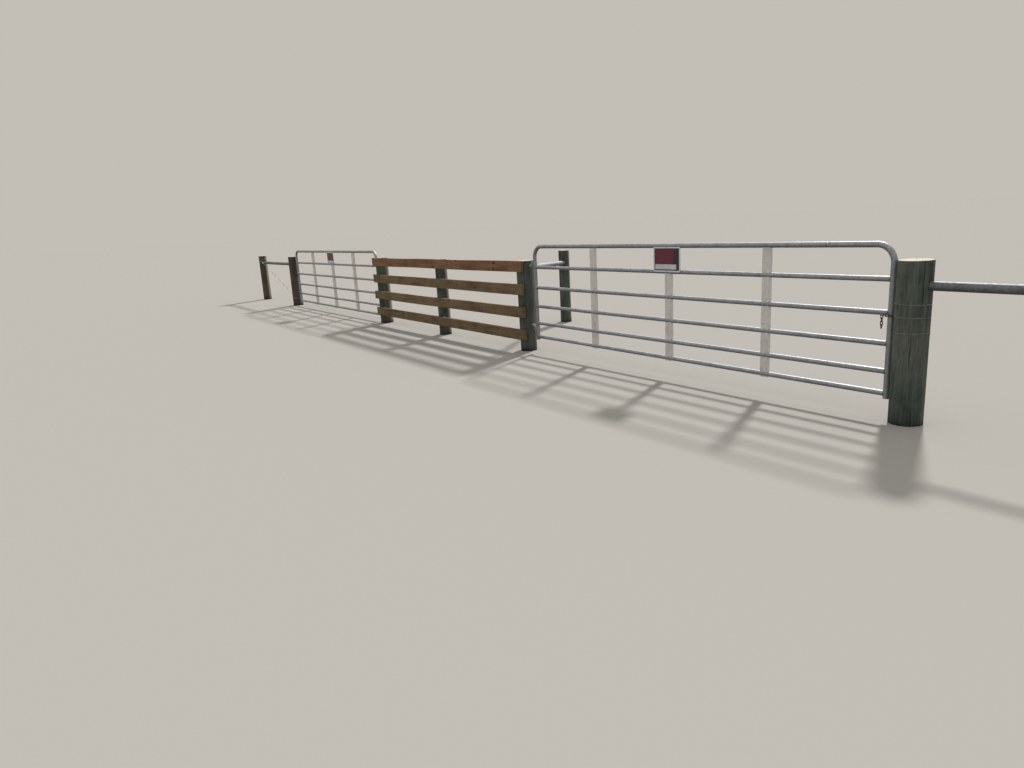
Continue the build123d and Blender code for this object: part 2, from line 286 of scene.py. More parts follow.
# Checks that the photograph shows: angle in degrees, low end, high end, width and depth in metres
post_checks = {
    "near_latch_post": [
        (-68, 0.45, 0.76, 0.004, 0.014),
        (-41, 0.9, 1.5, 0.003, 0.012),
        (110, 0.3, 1.5, 0.006, 0.02),
    ],
    "hinge_post": [(-95, 0.55, 1.4, 0.003, 0.012), (35, 0.2, 0.9, 0.005, 0.016)],
}
post_tapers = {"hinge_post": 0.010, "near_latch_post": 0.001}
end_posts = ("far_latch_post", "left_brace_post")
shaded_posts = ("near_latch_post", "hinge_post")
sun_x, sun_y, soil_reach = 0.35, 0.94, 0.13
greenish = treated_pine("pressure_treated_pine_pole", "#59635a", "#2a312c", "#6f7268", "#43322a")
brownish = treated_pine("pressure_treated_pine_pole_brown", "#5b4e43", "#2f2721", "#685c51", "#36241c")
pale_end = sawn_end("sawn_pine_end_grain", "#cdc5b2", "#9f947f")
post_nodes = ("hinge_post", "board_post_left", "board_post_middle", "near_latch_post")
post_nodes += ("far_latch_post", "left_brace_post", "right_brace_post", "back_brace_post")
posts = {}
for number, node in enumerate(post_nodes):
    low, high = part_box(node)
    foot = Vector(((low.x + high.x) / 2, (low.y + high.y) / 2, 0))
    radius = (high.y - low.y) / 2
    posts[node] = (foot, radius)
    draw = Random(node).uniform
    checks = [(radians(a), *rest) for a, *rest in post_checks.get(node, [])]
    while len(checks) < 4:
        angle = draw(-pi, pi)
        if all(abs((angle - c[0] + pi) % (2 * pi) - pi) > 0.35 for c in checks):
            start = draw(0.1, 0.8)
            end = start + draw(0.3, 0.7)
            width = draw(0.002, 0.005)
            checks.append((angle, start, end, width, draw(0.008, 0.016)))
    lean = (draw(-0.02, 0.02), draw(-0.02, 0.02))
    taper = post_tapers.get(node, -0.004)
    rings, sides = round_post(radius, high.z, checks, draw(0, 50), lean, taper)
    count = len(rings[0])
    points, faces = skin(rings)
    finish_of = [0 if face[0] < sides * count else 1 for face in faces]
    finish_of[-2] = 0
    finishes = [brownish if node in end_posts else greenish, pale_end]
    post = solid(f"{node}_timber", [(points, faces)], finishes, Matrix.Translation(foot), 45, finish_of)
    # Painted sunlight on each post's side toward the lamp, weaker on the posts that stand in shade
    painted_sun_share = 0.45 if node in shaded_posts else 1.0
    give_grain(
        post,
        number,
        lambda p: max(0.0, 1 - p.z / (soil_reach + 0.06 * noise.noise(p * 9))) * 0.8,
        lambda p: max(0.0, min(1.0, ((sun_x * p.x + sun_y * p.y) / radius - 0.45) * 4)) * painted_sun_share,
    )
    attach(post, "fence")
    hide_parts(node)

# Brace pipes.
# Lengths of galvanised steel pipe, 2 7/8 inch, wedged between two posts near the top to hold them
# apart. The ends are notched with a torch to sit against the round timber.


def hot_dip_zinc(
    name, bright, dull, chalk, spangle_mm=14.0, run_down=(1, 1, 1), shade_start=0.1, smooth=0.32, worn=0.52
):
    """Hot dip galvanised steel: crystals spangle_mm across that differ a little in tone and shine,
    chalky oxide where rain lies, and faint runs. Weathered, so its highlights are broad: smooth and
    worn are its roughness at the least and the most. Where its normal turns down past a given
    height, it is painted darker underneath as shade."""
    zinc = finish_named(name)
    where = add(zinc, "TexCoord").outputs["Object"]
    cells = {"Vector": where, "Scale": 1000.0 / spangle_mm, "Randomness": 1.0}
    crystal = add(zinc, "TexVoronoi", cells).outputs["Color"]
    shade = add(zinc, "RGBToBW", {"Color": crystal})
    cloud = add(zinc, "TexNoise", {"Vector": where, "Scale": 7.0, "Detail": 6.0, "Roughness": 0.66})
    streaks = add(zinc, "Mapping", {"Vector": where, "Scale": run_down})
    runs = add(zinc, "TexNoise", {"Vector": streaks, "Scale": 60.0, "Detail": 4.0, "Roughness": 0.6})
    clouds = add(zinc, "ValToRGB", {"Fac": cloud}, [(0.4, 0.0), (0.68, 1.0)])
    grey = add(zinc, "Mix", {0: shade, 6: bright, 7: dull}, data_type="RGBA")
    lines = add(zinc, "ValToRGB", {"Fac": runs}, [(0.42, 0.0), (0.75, 0.5)])
    grey = add(zinc, "Mix", {0: lines, 6: grey, 7: dull}, data_type="RGBA")
    cover = add(zinc, "Math", {0: clouds, 1: 0.5}, operation="MULTIPLY")
    pale = add(zinc, "Mix", {0: cover, 6: grey, 7: chalk}, data_type="RGBA")

    # Painted shade: faces darken as their normal turns down, which draws a dark line under each tube
    normal = add(zinc, "NewGeometry").outputs["Normal"]
    faced = add(zinc, "SeparateXYZ", {"Vector": normal}).outputs["Z"]
    under = add(zinc, "MapRange", {"Value": faced, "From Min": shade_start, "From Max": -0.8, "To Max": 0.9})
    colour = add(zinc, "Mix", {0: under, 6: pale, 7: "#3d4144"}, data_type="RGBA")
    rough = add(zinc, "Math", {0: shade, 1: clouds}, operation="ADD")
    rough = add(zinc, "MapRange", {"Value": rough, "From Max": 2.0, "To Min": smooth, "To Max": worn})
    metal = add(zinc, "MapRange", {"Value": clouds, "To Min": 0.72, "To Max": 0.42})
    relief = add(zinc, "Bump", {"Height": cloud, "Strength": 0.2, "Distance": 0.002})
    look = {"Base Color": colour, "Metallic": metal, "Roughness": rough, "Normal": relief}
    add(zinc, "OutputMaterial", {"Surface": add(zinc, "BsdfPrincipled", look)})
    return zinc


def circle(radius, sides):
    """The outline of a round section."""
    return [(radius * cos(angle), radius * sin(angle)) for angle in angles(sides)]


# Painted shade: this zinc is darker than the gate tubes', and its painted underside shade starts higher up
pipe_zinc = hot_dip_zinc(
    "hot_dip_galvanised_pipe", "#888c90", "#62666b", "#9a9b9a", 16.0, (1, 1, 0.06), 0.4, 0.6, 0.78
)
brace_pipes = {
    "left_brace_rail": ("left_brace_post", "far_latch_post", 0.0),
    "right_brace_rail": ("near_latch_post", "right_brace_post", 0.0),
    "back_brace_rail": ("hinge_post", "back_brace_post", 0.115),
}
pipe_r, bite, pipe_sag, pipe_steps = 0.0365, 0.004, 0.003, 30
for node, (first, last, fall) in brace_pipes.items():
    low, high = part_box(node)
    (first_foot, first_r), (last_foot, last_r) = posts[first], posts[last]
    middle, half_fall = Vector((0, 0, (low.z + high.z) / 2)), Vector((0, 0, fall / 2))
    start, end = first_foot + middle + half_fall, last_foot + middle - half_fall
    run = (end - start).normalized()
    start, end = start + run * (first_r - bite), end - run * (last_r - bite)
    length = (end - start).length
    rings = []
    for step in range(pipe_steps + 1):
        ring = []
        sag = pipe_sag * sin(pi * step / pipe_steps)
        for x, y in circle(pipe_r, 40):
            hollow = 0.0
            if step in (0, pipe_steps):
                reach, way = (first_r, 1) if step == 0 else (last_r, -1)
                hollow = way * (sqrt(reach**2 - x**2) - reach)
            ring.append(Vector((x, y - sag, length * step / pipe_steps + hollow)))
        rings.append(ring)
    across = Vector((0, 0, 1)).cross(run).normalized()
    place = Matrix((across, run.cross(across), run)).transposed().to_4x4()
    place.translation = start
    pipe = solid(f"{node}_pipe", [skin(rings)], [pipe_zinc], place)
    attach(pipe, "fence")
    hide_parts(node)

# Brace wire.
# Two loops of soft fence wire, laid diagonally from high on the outer brace post to low on the
# latch post, and twitched up tight into a rope of four. They go round each post under staples.


def swept(path, outline, sizes=None, looped=False, upright=None):
    """Rings of an outline carried along a path without a twist. Sizes scale it point by point."""
    path = [Vector(point) for point in path]
    count = len(path)
    ways = []
    for at in range(count):
        before = path[at - 1] if at or looped else path[0]
        after = path[(at + 1) % count] if at < count - 1 or looped else path[-1]
        ways.append((after - before).normalized())
    side = Vector(upright) if upright else ways[0].orthogonal()
    rings = []
    for at, way in enumerate(ways):
        if at:
            side = ways[at - 1].rotation_difference(way) @ side
        side = (side - way * side.dot(way)).normalized()
        up = way.cross(side)
        size = sizes[at] if sizes else 1.0
        rings.append([path[at] + (side * a + up * b) * size for a, b in outline])
    return rings


def rod(path, radius, sides=6, sizes=None, looped=False):
    """The skin of a round rod along a path."""
    return skin(swept(path, circle(radius, sides), sizes, looped), looped=looped)


def zinc_wire(name, bright, dull, spot):
    """Galvanised wire and small hardware: a grey zinc skin that has gone matt, with pale oxide and
    a first bloom of rust in the places that stay wet."""
    zinc = finish_named(name)
    where = add(zinc, "TexCoord").outputs["Object"]
    cloud = add(zinc, "TexNoise", {"Vector": where, "Scale": 90.0, "Detail": 5.0, "Roughness": 0.65})
    fine = add(zinc, "TexNoise", {"Vector": where, "Scale": 900.0, "Detail": 3.0})
    tone = add(zinc, "ValToRGB", {"Fac": cloud}, [(0.35, 0.0), (0.65, 1.0)])
    rust = add(zinc, "ValToRGB", {"Fac": cloud}, [(0.6, 0.0), (0.74, 0.85)])
    colour = add(zinc, "Mix", {0: tone, 6: bright, 7: dull}, data_type="RGBA")
    colour = add(zinc, "Mix", {0: rust, 6: colour, 7: spot}, data_type="RGBA")
    metal = add(zinc, "MapRange", {"Value": rust, "To Min": 0.85, "To Max": 0.15})
    rough = add(zinc, "MapRange", {"Value": tone, "To Min": 0.4, "To Max": 0.7})
    relief = add(zinc, "Bump", {"Height": fine, "Strength": 0.35, "Distance": 0.0005})
    look = {"Base Color": colour, "Metallic": metal, "Roughness": rough, "Normal": relief}
    add(zinc, "OutputMaterial", {"Surface": add(zinc, "BsdfPrincipled", look)})
    return zinc


wire_zinc = zinc_wire("galvanised_soft_wire", "#b4b6b6", "#8a8c8c", "#6e5340")
strand_r, lay_pitch, rope_r, rope_off = 0.0022, 0.075, 0.0045, 0.0048
staple_r, staple_bite = 0.0019, 0.006
wire_low, wire_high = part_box("left_brace_wire")
outer_foot, outer_r = posts["left_brace_post"]
inner_foot, inner_r = posts["far_latch_post"]
high_level, low_level = wire_high.z - rope_r, wire_low.z + rope_r
leave = radians(60)
off = outer_r + rope_off
high_end = outer_foot + Vector((off * cos(leave), -off * sin(leave), high_level))
low_end = inner_foot + Vector((-(inner_r + rope_off), 0, low_level))
pull = low_end - high_end
side = pull.normalized().orthogonal()
up = pull.normalized().cross(side)
skins = []
turns = pull.length / lay_pitch
steps = int(turns * 8)
for strand in (0, pi / 2, pi, 3 * pi / 2):
    path = []
    for step in range(steps + 1):
        turn = 2 * pi * turns * step / steps + strand
        path.append(high_end + pull * (step / steps) + (side * cos(turn) + up * sin(turn)) * strand_r * 1.42)
    skins.append(rod(path, strand_r))
# How far a staple's wire stands out of the post and how high it lies, from end to end
legs = ((0, 0.010), (0.007, 0.010), (0.011, 0.006), (0.012, 0))
legs += ((0.011, -0.006), (0.007, -0.010), (0, -0.010))
for foot, radius, level in ((outer_foot, outer_r, high_level), (inner_foot, inner_r, low_level)):
    for lift in (-strand_r, strand_r):
        path = [foot + Vector((x, y, level + lift)) for x, y in circle(radius + strand_r, 56)]
        skins.append(rod(path, strand_r, looped=True))
    for angle in (-100, 10, 140):
        out = Vector((cos(radians(angle)), sin(radians(angle)), 0))
        base = foot + out * (radius - staple_bite) + Vector((0, 0, level))
        path = [base + out * reach + Vector((0, 0, rise)) for reach, rise in legs]
        skins.append(rod(path, staple_r))
wire = solid("left_brace_wire_twisted_rope", skins, [wire_zinc])
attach(wire, "fence")
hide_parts("left_brace_wire")

# Three turns of plain wire are left round the near latch post, each closed with a short twist
foot, radius = posts["near_latch_post"]
plain_r, tail_r, twist_r, twist_off, twist_long = 0.0014, 0.0013, 0.0018, 0.0034, 0.018
wraps = []
for level, start_at in ((0.977, -20), (0.876, -52), (0.750, 8)):
    tilt = 0.004 if start_at > 0 else -0.003
    reach = radius + plain_r
    path = [foot + Vector((cos(a) * reach, sin(a) * reach, level + tilt * cos(a))) for a in angles(64)]
    wraps.append(rod(path, plain_r, looped=True))
    for strand in (0, pi):
        path = []
        for step in range(25):
            a = radians(start_at) + twist_long * step / 24 / radius
            turn = 2 * pi * 3 * step / 24 + strand
            reach = radius + twist_off + twist_r * cos(turn)
            path.append(foot + Vector((reach * cos(a), reach * sin(a), level + twist_r * sin(turn))))
        wraps.append(rod(path, tail_r))
wrap = solid("near_latch_post_wire_wraps", wraps, [wire_zinc])
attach(wrap, "fence")

# Fence boards.
# Four sawn and planed boards, 16 ft long, treated and still brown. The top one took a redder stain.
# They lie against the road side of three posts, bowed a little between them, and are nailed on.

red_board = treated_pine("treated_sawn_board_red_brown", "#8a5f42", "#5b3b26", "#967860", "#3f271b")
olive_board = treated_pine("treated_sawn_board_olive_brown", "#7a6749", "#503f28", "#8c7b5e", "#392a1c")
board_end = sawn_end("sawn_board_end_grain", "#745e42", "#524029")


def arc(start, stride, count):
    """Angles that lie a stride apart, given in degrees."""
    return [radians(start + stride * step) for step in range(count)]


def rounded(x0, x1, z0, z1, corner, reach, steps):
    """The points round a rectangle: arcs of a radius, reach, about centres that lie in by corner."""
    corners = ((x1, z1, 1, 1), (x0, z1, -1, 1), (x0, z0, -1, -1), (x1, z0, 1, -1))
    points = []
    for number, (x, z, x_way, z_way) in enumerate(corners):
        for a in arc(90 * number, 90 / steps, steps + 1):
            points.append((x - x_way * corner + reach * cos(a), z - z_way * corner + reach * sin(a)))
    return points


def board_outline(height, thickness, eased):
    """Round the section of a board, with soft edges and a few points up each face."""
    edges = rounded(-height / 2, height / 2, -thickness / 2, thickness / 2, eased, eased, 3)
    face = [((height / 2 - eased) * share, thickness / 2) for share in (0.5, 0.0, -0.5)]
    return edges[:4] + face + edges[4:12] + [(-x, -y) for x, y in face] + edges[12:]


# A board runs full at 150 mm, its top edge level with the post's
full_height, full_drop, soft_edge, end_inset = 0.010, 0.0055, 0.0035, 0.0025
crook_reach, bow_reach, saw_marks, wane_reach = 0.0042, 0.0028, 0.0005, -0.004
# How much each board is cut short at its left and right ends, or runs on where it is less than 0
board_trims = ((0.004, 0.0), (0.0, -0.003), (0.008, -0.006), (0.034, -0.008))
board_steps = 80
middle_x, left_x = posts["board_post_middle"][0].x, posts["board_post_left"][0].x
nail_dome = ((0.0045, 0.003), (0.0045, 0.0), (0.004, -0.0011), (0.002, -0.0015))
nail_skins = []
for number in range(1, 5):
    low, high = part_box(f"fence_board_{number}")
    length, height, thickness = high.x - low.x, high.z - low.z, high.y - low.y
    centre = (low + high) / 2
    outline = board_outline(height + full_height, thickness, soft_edge)
    centre.z -= full_drop
    draw = Random(f"board {number}").uniform
    seed = draw(0, 50)
    start_trim, end_trim = board_trims[number - 1]
    rings = []
    for step in range(-1, board_steps + 2):
        share = min(1.0, max(0.0, step / board_steps))
        z = start_trim + (length - start_trim - end_trim) * share
        ease = 0.97 if step in (-1, board_steps + 1) else 1.0
        z += {0: end_inset, board_steps: -end_inset}.get(step, 0.0)
        crook = crook_reach * noise.noise(Vector((z * 0.75, seed, 0)))
        held = min(abs(low.x + z - x) for x in (0.0, middle_x, left_x))
        bow = bow_reach * min(1.0, held) * (1 + noise.noise(Vector((z * 0.6, 7, seed))))
        ring = []
        for x, y in outline:
            rough = saw_marks * noise.noise(Vector((x * 14, y * 14, z * 5 + seed)))
            wane = 0.0
            if abs(x) > 0.06:
                wane = wane_reach * max(0.0, noise.noise(Vector((z * 1.1, seed, x * 3))))
            ring.append(Vector((x * ease + crook + wane * (1 if x > 0 else -1), y * ease + bow + rough, z)))
        rings.append(ring)
    points, faces = skin(rings)
    finish_of = [0] * (len(faces) - 2) + [1, 1]
    place = Matrix(((0, 0, 1, low.x), (0, -1, 0, centre.y), (1, 0, 0, centre.z), (0, 0, 0, 1)))
    finish = red_board if number == 1 else olive_board
    name = f"fence_board_{number}_timber"
    board = solid(name, [(points, faces)], [finish, board_end], place, 40, finish_of)
    give_grain(board, 30 + number)
    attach(board, "fence")
    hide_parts(f"fence_board_{number}")
    for nail_x in (0.012, middle_x, left_x - 0.008):
        for rise, shift in ((0.043, -0.012), (-0.043, 0.014), (0.002, 0.03)):
            strayed = nail_x + shift + draw(-0.006, 0.006)
            head = Vector((strayed, low.y - 0.0002, centre.z + rise))
            rings = [[head + Vector((x, y, z)) for x, z in circle(r, 12)] for r, y in nail_dome]
            nail_skins.append(skin(rings))
nail_zinc = zinc_wire("galvanised_nail_heads", "#9b9a96", "#6c6862", "#5b3d28")
nails = solid("fence_board_nails", nail_skins, [nail_zinc])
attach(nails, "fence")

# Gate tubes.
# Each gate is one 2 inch steel tube bent up, over and down, with five 1 3/4 inch rails coped and
# welded between its uprights, then hot dip galvanised. The zinc is dull grey with a soft spangle.

tube_zinc = hot_dip_zinc(
    "hot_dip_galvanised_tube", "#b6babe", "#8b8f95", "#c6c8c8", 14.0, (0.08, 1, 1), 0.5, 0.44, 0.62
)
frame_r, rail_r, wall = 0.0254, 0.02225, 0.0016
corner_r, tail, mouth_depth = 0.145, 0.042, 0.09
rail_bite, rail_steps, rail_bead_r = 0.004, 24, 0.0032
span = 4.83
rail_levels = (0.0, 0.186, 0.419, 0.673, 0.945)
top_level = 1.22
gate_bodies = (("near", "near_gate"), ("far", "far_gate"))
gates = {}
for gate, way in (("near", 1), ("far", -1)):
    low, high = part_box(f"{gate}_gate_frame")
    hinge_x = low.x + frame_r if way > 0 else high.x - frame_r
    gates[gate] = (hinge_x, way, low.z + tail)


def on_gate(gate, x, y, z):
    """A point of a gate: x from the hinge upright's axis, z from the lowest rail's."""
    hinge_x, way, lift = gates[gate]
    return Vector((hinge_x + way * x, y, lift + z))


for gate, body in gate_bodies:
    path = [(0, -tail), (0, 0.3), (0, 0.7), (0, top_level - corner_r)]
    path += [(corner_r * (1 - cos(a)), top_level - corner_r * (1 - sin(a))) for a in arc(6, 6, 14)]
    path += [(corner_r, top_level), (span / 4, top_level), (span / 2, top_level)]
    path += [(span - x, z) for x, z in reversed(path[:-1])]
    rings = swept([on_gate(gate, x, 0, z) for x, z in path], circle(frame_r, 32), upright=(0, 1, 0))
    for end in (0, -1):
        centre = sum(rings[end], Vector()) / 32
        mouth = [centre + (point - centre) * ((frame_r - wall) / frame_r) for point in rings[end]]
        depth = [point + Vector((0, 0, mouth_depth)) for point in mouth]
        rings = [depth, mouth] + rings if end == 0 else rings + [mouth, depth]
    tube = solid(f"{gate}_gate_frame_tube", [skin(rings)], [tube_zinc])
    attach(tube, body)
    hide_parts(f"{gate}_gate_frame")

    beads = []
    draw = Random(f"{gate} welds").uniform
    for number, level in enumerate(reversed(rail_levels), start=2):
        sag = draw(0.0, 0.0015)
        start, reach = frame_r - rail_bite, span - 2 * frame_r + 2 * rail_bite
        path = []
        for s in range(rail_steps + 1):
            z = level - sag * sin(pi * s / rail_steps)
            path.append(on_gate(gate, start + reach * s / rail_steps, 0, z))
        rings = swept(path, circle(rail_r, 28), upright=(0, 1, 0))
        rail = solid(f"{gate}_gate_rail_{number}_tube", [skin(rings)], [tube_zinc])
        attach(rail, body)
        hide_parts(f"{gate}_gate_rail_{number}")
        for end, way in ((0, 1), (span, -1)):
            bead = []
            for y, z in circle(rail_r + 0.001, 40):
                bead.append(on_gate(gate, end + way * sqrt(frame_r**2 - y**2), y, level + z))
            sizes = [1 + 0.22 * (step % 2) + draw(-0.2, 0.25) for step in range(40)]
            beads.append(rod(bead, rail_bead_r, 6, sizes, looped=True))
    welds = solid(f"{gate}_gate_rail_welds", beads, [tube_zinc], crease=60)
    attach(welds, body)

# Channel stays.
# Three upright channels, folded from galvanised sheet with a shallow rib up the middle. The rails
# thread through their sides, and the web is sheared and pressed out in a saddle over each one.
# Each saddle is painted in the rails' darker zinc as shade, and its sheared sides dark, as painted
# shadow in the slits and as bare steel.

sheet_zinc = hot_dip_zinc("hot_dip_galvanised_sheet", "#e3dfdd", "#c8c4c2", "#eae6e3", 18.0, (1, 1, 0.05))
stay_half, stay_pitch, stay_front, stay_back, sheet = 0.040, 1.23, 0.017, 0.028, 0.0025
stay_low, fold_r, flange_low = -0.03, 0.005, 0.005
saddle_r, saddle_half = rail_r + 0.0003 + sheet, 0.027
rib_half, rib_depth = 0.0065, 0.0016
seat_r, stay_bead_r, nearly = frame_r + 0.0004, 0.0024, 0.0001
# A dark finish for the saddles' sheared sides: painted shadow, and bare sheared steel
shadow_edge = zinc_wire("sheared_edge_painted_shadow", "#4b423c", "#2f2924", "#4a2f20")


def web_lift(x, z):
    """How far the web stands out from its flat: in a saddle over a rail, sheared at both sides, or
    back into the rib."""
    gap = min(abs(z - level) for level in rail_levels)
    lift = max(0.0, sqrt(max(0.0, saddle_r**2 - gap**2)) - stay_front)
    rib = rib_depth * exp(-((x / rib_half) ** 2)) * max(0.0, min(1.0, (gap - saddle_r) / 0.02))
    return lift * (1.0 if abs(x) < saddle_half else 0.0) - rib


rows = {stay_low, *rail_levels}
saddle_foot = sqrt(saddle_r**2 - stay_front**2)
for level in rail_levels:
    for share in (1.9, 1.4, 1.08, 1.0, 0.97, 0.9, 0.8, 0.68, 0.54, 0.38, 0.2):
        rows |= {level - saddle_foot * share, level + saddle_foot * share}
rows |= {(a + b) / 2 for a, b in zip(rail_levels, (*rail_levels[1:], top_level))}
rows = sorted(row for row in rows if stay_low <= row < top_level - 0.05) + [top_level]
across = (-0.0335, -saddle_half - nearly, -saddle_half, -0.021, -0.014, -0.009, -0.005, -0.002)
across = [*across, *(-x for x in reversed(across))]


def stay_side(gap):
    """One face of the folded sheet, outer or inner, from the left flange's edge to the right's."""
    flat, turn, front = stay_half - gap, fold_r - gap, stay_front - gap
    side = [(-flat, stay_back), (-flat, flange_low)]
    side += [(-flat + turn - turn * cos(a), -front + turn - turn * sin(a)) for a in arc(0, 22.5, 5)]
    return side + [(x, -front) for x in across] + [(-x, y) for x, y in reversed(side)]


outline = stay_side(0.0) + stay_side(sheet)[::-1]
for gate, body in gate_bodies:
    beads = []
    for number in (1, 2, 3):
        middle = span / 2 + stay_pitch * (number - 2)
        rings = []
        for z in rows:
            ring = []
            for x, y in outline:
                on_web = y < -stay_front + 1.5 * sheet and abs(x) < stay_half - fold_r + nearly
                out = web_lift(x, z) if on_web and z < top_level else 0.0
                drop = sqrt(max(0.0, seat_r**2 - y**2)) if z == top_level else 0.0
                ring.append(on_gate(gate, middle + x, y - out, z - drop))
            rings.append(ring)
        points, faces = skin(rings)
        finish_of = []
        for face in faces:
            xs = [abs(outline[corner % len(outline)][0]) for corner in face]
            height = sum((points[corner].z for corner in face), 0.0) / len(face) - gates[gate][2]
            pressed = min(abs(height - level) for level in rail_levels) < saddle_foot
            sheared = all(abs(x - saddle_half) < 2 * nearly for x in xs)
            domed = max(xs) < saddle_half + nearly / 2
            on_saddle = pressed and len(face) == 4
            # Saddle domes take the darker tube zinc as painted shade, and their sheared sides the dark finish
            # as painted shadow
            finish_of.append(1 if on_saddle and sheared else 2 if on_saddle and domed else 0)
        finishes = [sheet_zinc, shadow_edge, tube_zinc]
        name = f"{gate}_gate_stay_{number}_channel"
        stay = solid(name, [(points, faces)], finishes, None, 30, finish_of)
        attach(stay, body)
        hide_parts(f"{gate}_gate_stay_{number}")
        draw = Random(f"{gate} stay {number}").uniform
        path = []
        for step in range(25):
            x = -stay_half + 0.002 + (2 * stay_half - 0.004) * step / 24
            z = top_level - sqrt(frame_r**2 - stay_front**2)
            path.append(on_gate(gate, middle + x, -stay_front - 0.0008, z))
        sizes = [draw(0.8, 1.25) for _ in path]
        beads.append(rod(path, stay_bead_r, 6, sizes))
    welds = solid(f"{gate}_gate_stay_welds", beads, [tube_zinc], crease=60)
    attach(welds, body)

# Sign plates.
# A light pressed plate with a rolled rim on the middle stay, screwed through at top and bottom.
# It is enamelled black, with a red field over a white strip, and carries no words.


def enamel(name, colour, worn):
    """Sprayed enamel on sheet: smooth and half gloss, and faded in clouds."""
    paint = finish_named(name)
    where = add(paint, "TexCoord").outputs["Object"]
    cloud = add(paint, "TexNoise", {"Vector": where, "Scale": 18.0, "Detail": 5.0, "Roughness": 0.6})
    peel = add(paint, "TexNoise", {"Vector": where, "Scale": 700.0, "Detail": 2.0})
    fade = add(paint, "ValToRGB", {"Fac": cloud}, [(0.4, 0.0), (0.72, 0.7)])
    tone = add(paint, "Mix", {0: fade, 6: colour, 7: worn}, data_type="RGBA")
    rough = add(paint, "MapRange", {"Value": cloud, "To Min": 0.35, "To Max": 0.6})
    relief = add(paint, "Bump", {"Height": peel, "Strength": 0.15, "Distance": 0.0004})
    look = {"Base Color": tone, "Roughness": rough, "Normal": relief}
    add(paint, "OutputMaterial", {"Surface": add(paint, "BsdfPrincipled", look)})
    return paint


def slab(gate, x0, x1, y0, y1, z0, z1, corner, edge=0.0004):
    """A flat piece of a gate with round corners: rings from its back to its front, edges eased."""
    return [
        [on_gate(gate, x, y, z) for x, z in rounded(x0, x1, z0, z1, corner, corner - inset, 4)]
        for y, inset in ((y0, 0.0), (y1 + edge, 0.0), (y1, edge))
    ]


plate_enamel = enamel("black_enamel_plate", "#1c1d22", "#303238")
field_enamel = enamel("red_enamel_field", "#5e1226", "#6c2a3a")
strip_enamel = enamel("white_enamel_strip", "#c8c7cc", "#aeacb0")
rim_enamel = enamel("pale_enamel_rim", "#d2d3d6", "#bcbdc0")
sign_back, plate_thick, plate_corner, rim_bend = 0.02535, 0.0015, 0.014, 0.006
rim_section = [(0.008, -0.001), (0.0077, 0.0018), (0.0052, 0.0029)]
rim_section += [(-a, b) for a, b in reversed(rim_section)]
# The left, right, top and bottom of each field from the plate's top left corner, and its finish
fields = ((0.026, 0.290, 0.024, 0.182, 1), (0.026, 0.328, 0.185, 0.238, 2))
sign_washer = [(0.0075, 0.0), (0.0075, -0.0009), (0.0052, -0.0012)]
sign_hexagon = [(0.0046, -0.0012), (0.0046, -0.0046), (0.0038, -0.0052)]
for gate, body in gate_bodies:
    low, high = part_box(f"{gate}_gate_sign")
    hinge_x, way, lift = gates[gate]
    x0, x1 = sorted(abs(edge - hinge_x) for edge in (low.x, high.x))
    z0, z1 = low.z - lift, high.z - lift
    front = -sign_back - plate_thick
    panels = [skin(slab(gate, x0, x1, -sign_back, front, z0, z1, plate_corner))]
    finish_of = [0] * len(panels[0][1])
    path = [on_gate(gate, x, front, z) for x, z in rounded(x0, x1, z0, z1, plate_corner, rim_bend, 6)]
    section = [(b, way * a) for a, b in rim_section]
    panels.append(skin(swept(path, section, looped=True, upright=(0, -1, 0)), looped=True))
    finish_of += [3] * len(panels[-1][1])
    for left, right, top, bottom, finish in fields:
        a, b = (x1 - right, x1 - left) if way < 0 else (x0 + left, x0 + right)
        panels.append(skin(slab(gate, a, b, front + 0.0002, front - 0.0007, z1 - bottom, z1 - top, 0.003)))
        finish_of += [finish] * len(panels[-1][1])
    finishes = [plate_enamel, field_enamel, strip_enamel, rim_enamel]
    plate = solid(f"{gate}_gate_sign_plate", panels, finishes, crease=30, finish_of=finish_of)
    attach(plate, body)
    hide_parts(f"{gate}_gate_sign")
    screws = []
    for z in (z0 + 0.008, z1 - 0.008):
        for profile, sides in ((sign_washer, 20), (sign_hexagon, 6)):
            rings = [
                [on_gate(gate, span / 2 + a, front + y, z + b) for a, b in circle(r, sides)]
                for r, y in profile
            ]
            screws.append(skin(rings))
    screw = solid(f"{gate}_gate_sign_screws", screws, [wire_zinc], crease=25)
    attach(screw, body)

# Hinge straps.
# Flat bar bent round the hinge upright, its two leaves brought back together and bolted, with an
# eye at the end that turns on the hook bolt's pin.

hinge_zinc = hot_dip_zinc("hot_dip_galvanised_hinge_bar", "#a7a9ab", "#7b7d80", "#b3b2ae", 8.0)
pin_reach, strap_h, strap_t, hook_turn = 0.07, 0.044, 0.006, 0.012
pin_r, pin_gap, seat_gap, bar_edge = 0.0095, 0.0005, 0.0003, 0.0012
bolt_levels = ((0.148, -1), (0.96, 1))
wrap_r, eye_r = frame_r + seat_gap + strap_t / 2, pin_r + pin_gap + strap_t / 2
leaf, eye_end = strap_t / 2 + 0.0002, 0.009
strap_nut = [(0.0085, 0.0), (0.0085, 0.0015), (0.0072, 0.0016), (0.0074, 0.0075), (0.0062, 0.0085)]


def turned(centre, axis, profile, sides, start=0.0):
    """Rings of a turned or hexagon part along an axis. The profile is radius and place along it."""
    axis = Vector(axis).normalized()
    side = axis.orthogonal().normalized()
    up = axis.cross(side)
    spokes = [side * cos(start + a) + up * sin(start + a) for a in angles(sides)]
    return [[Vector(centre) + axis * along + spoke * radius for spoke in spokes] for radius, along in profile]


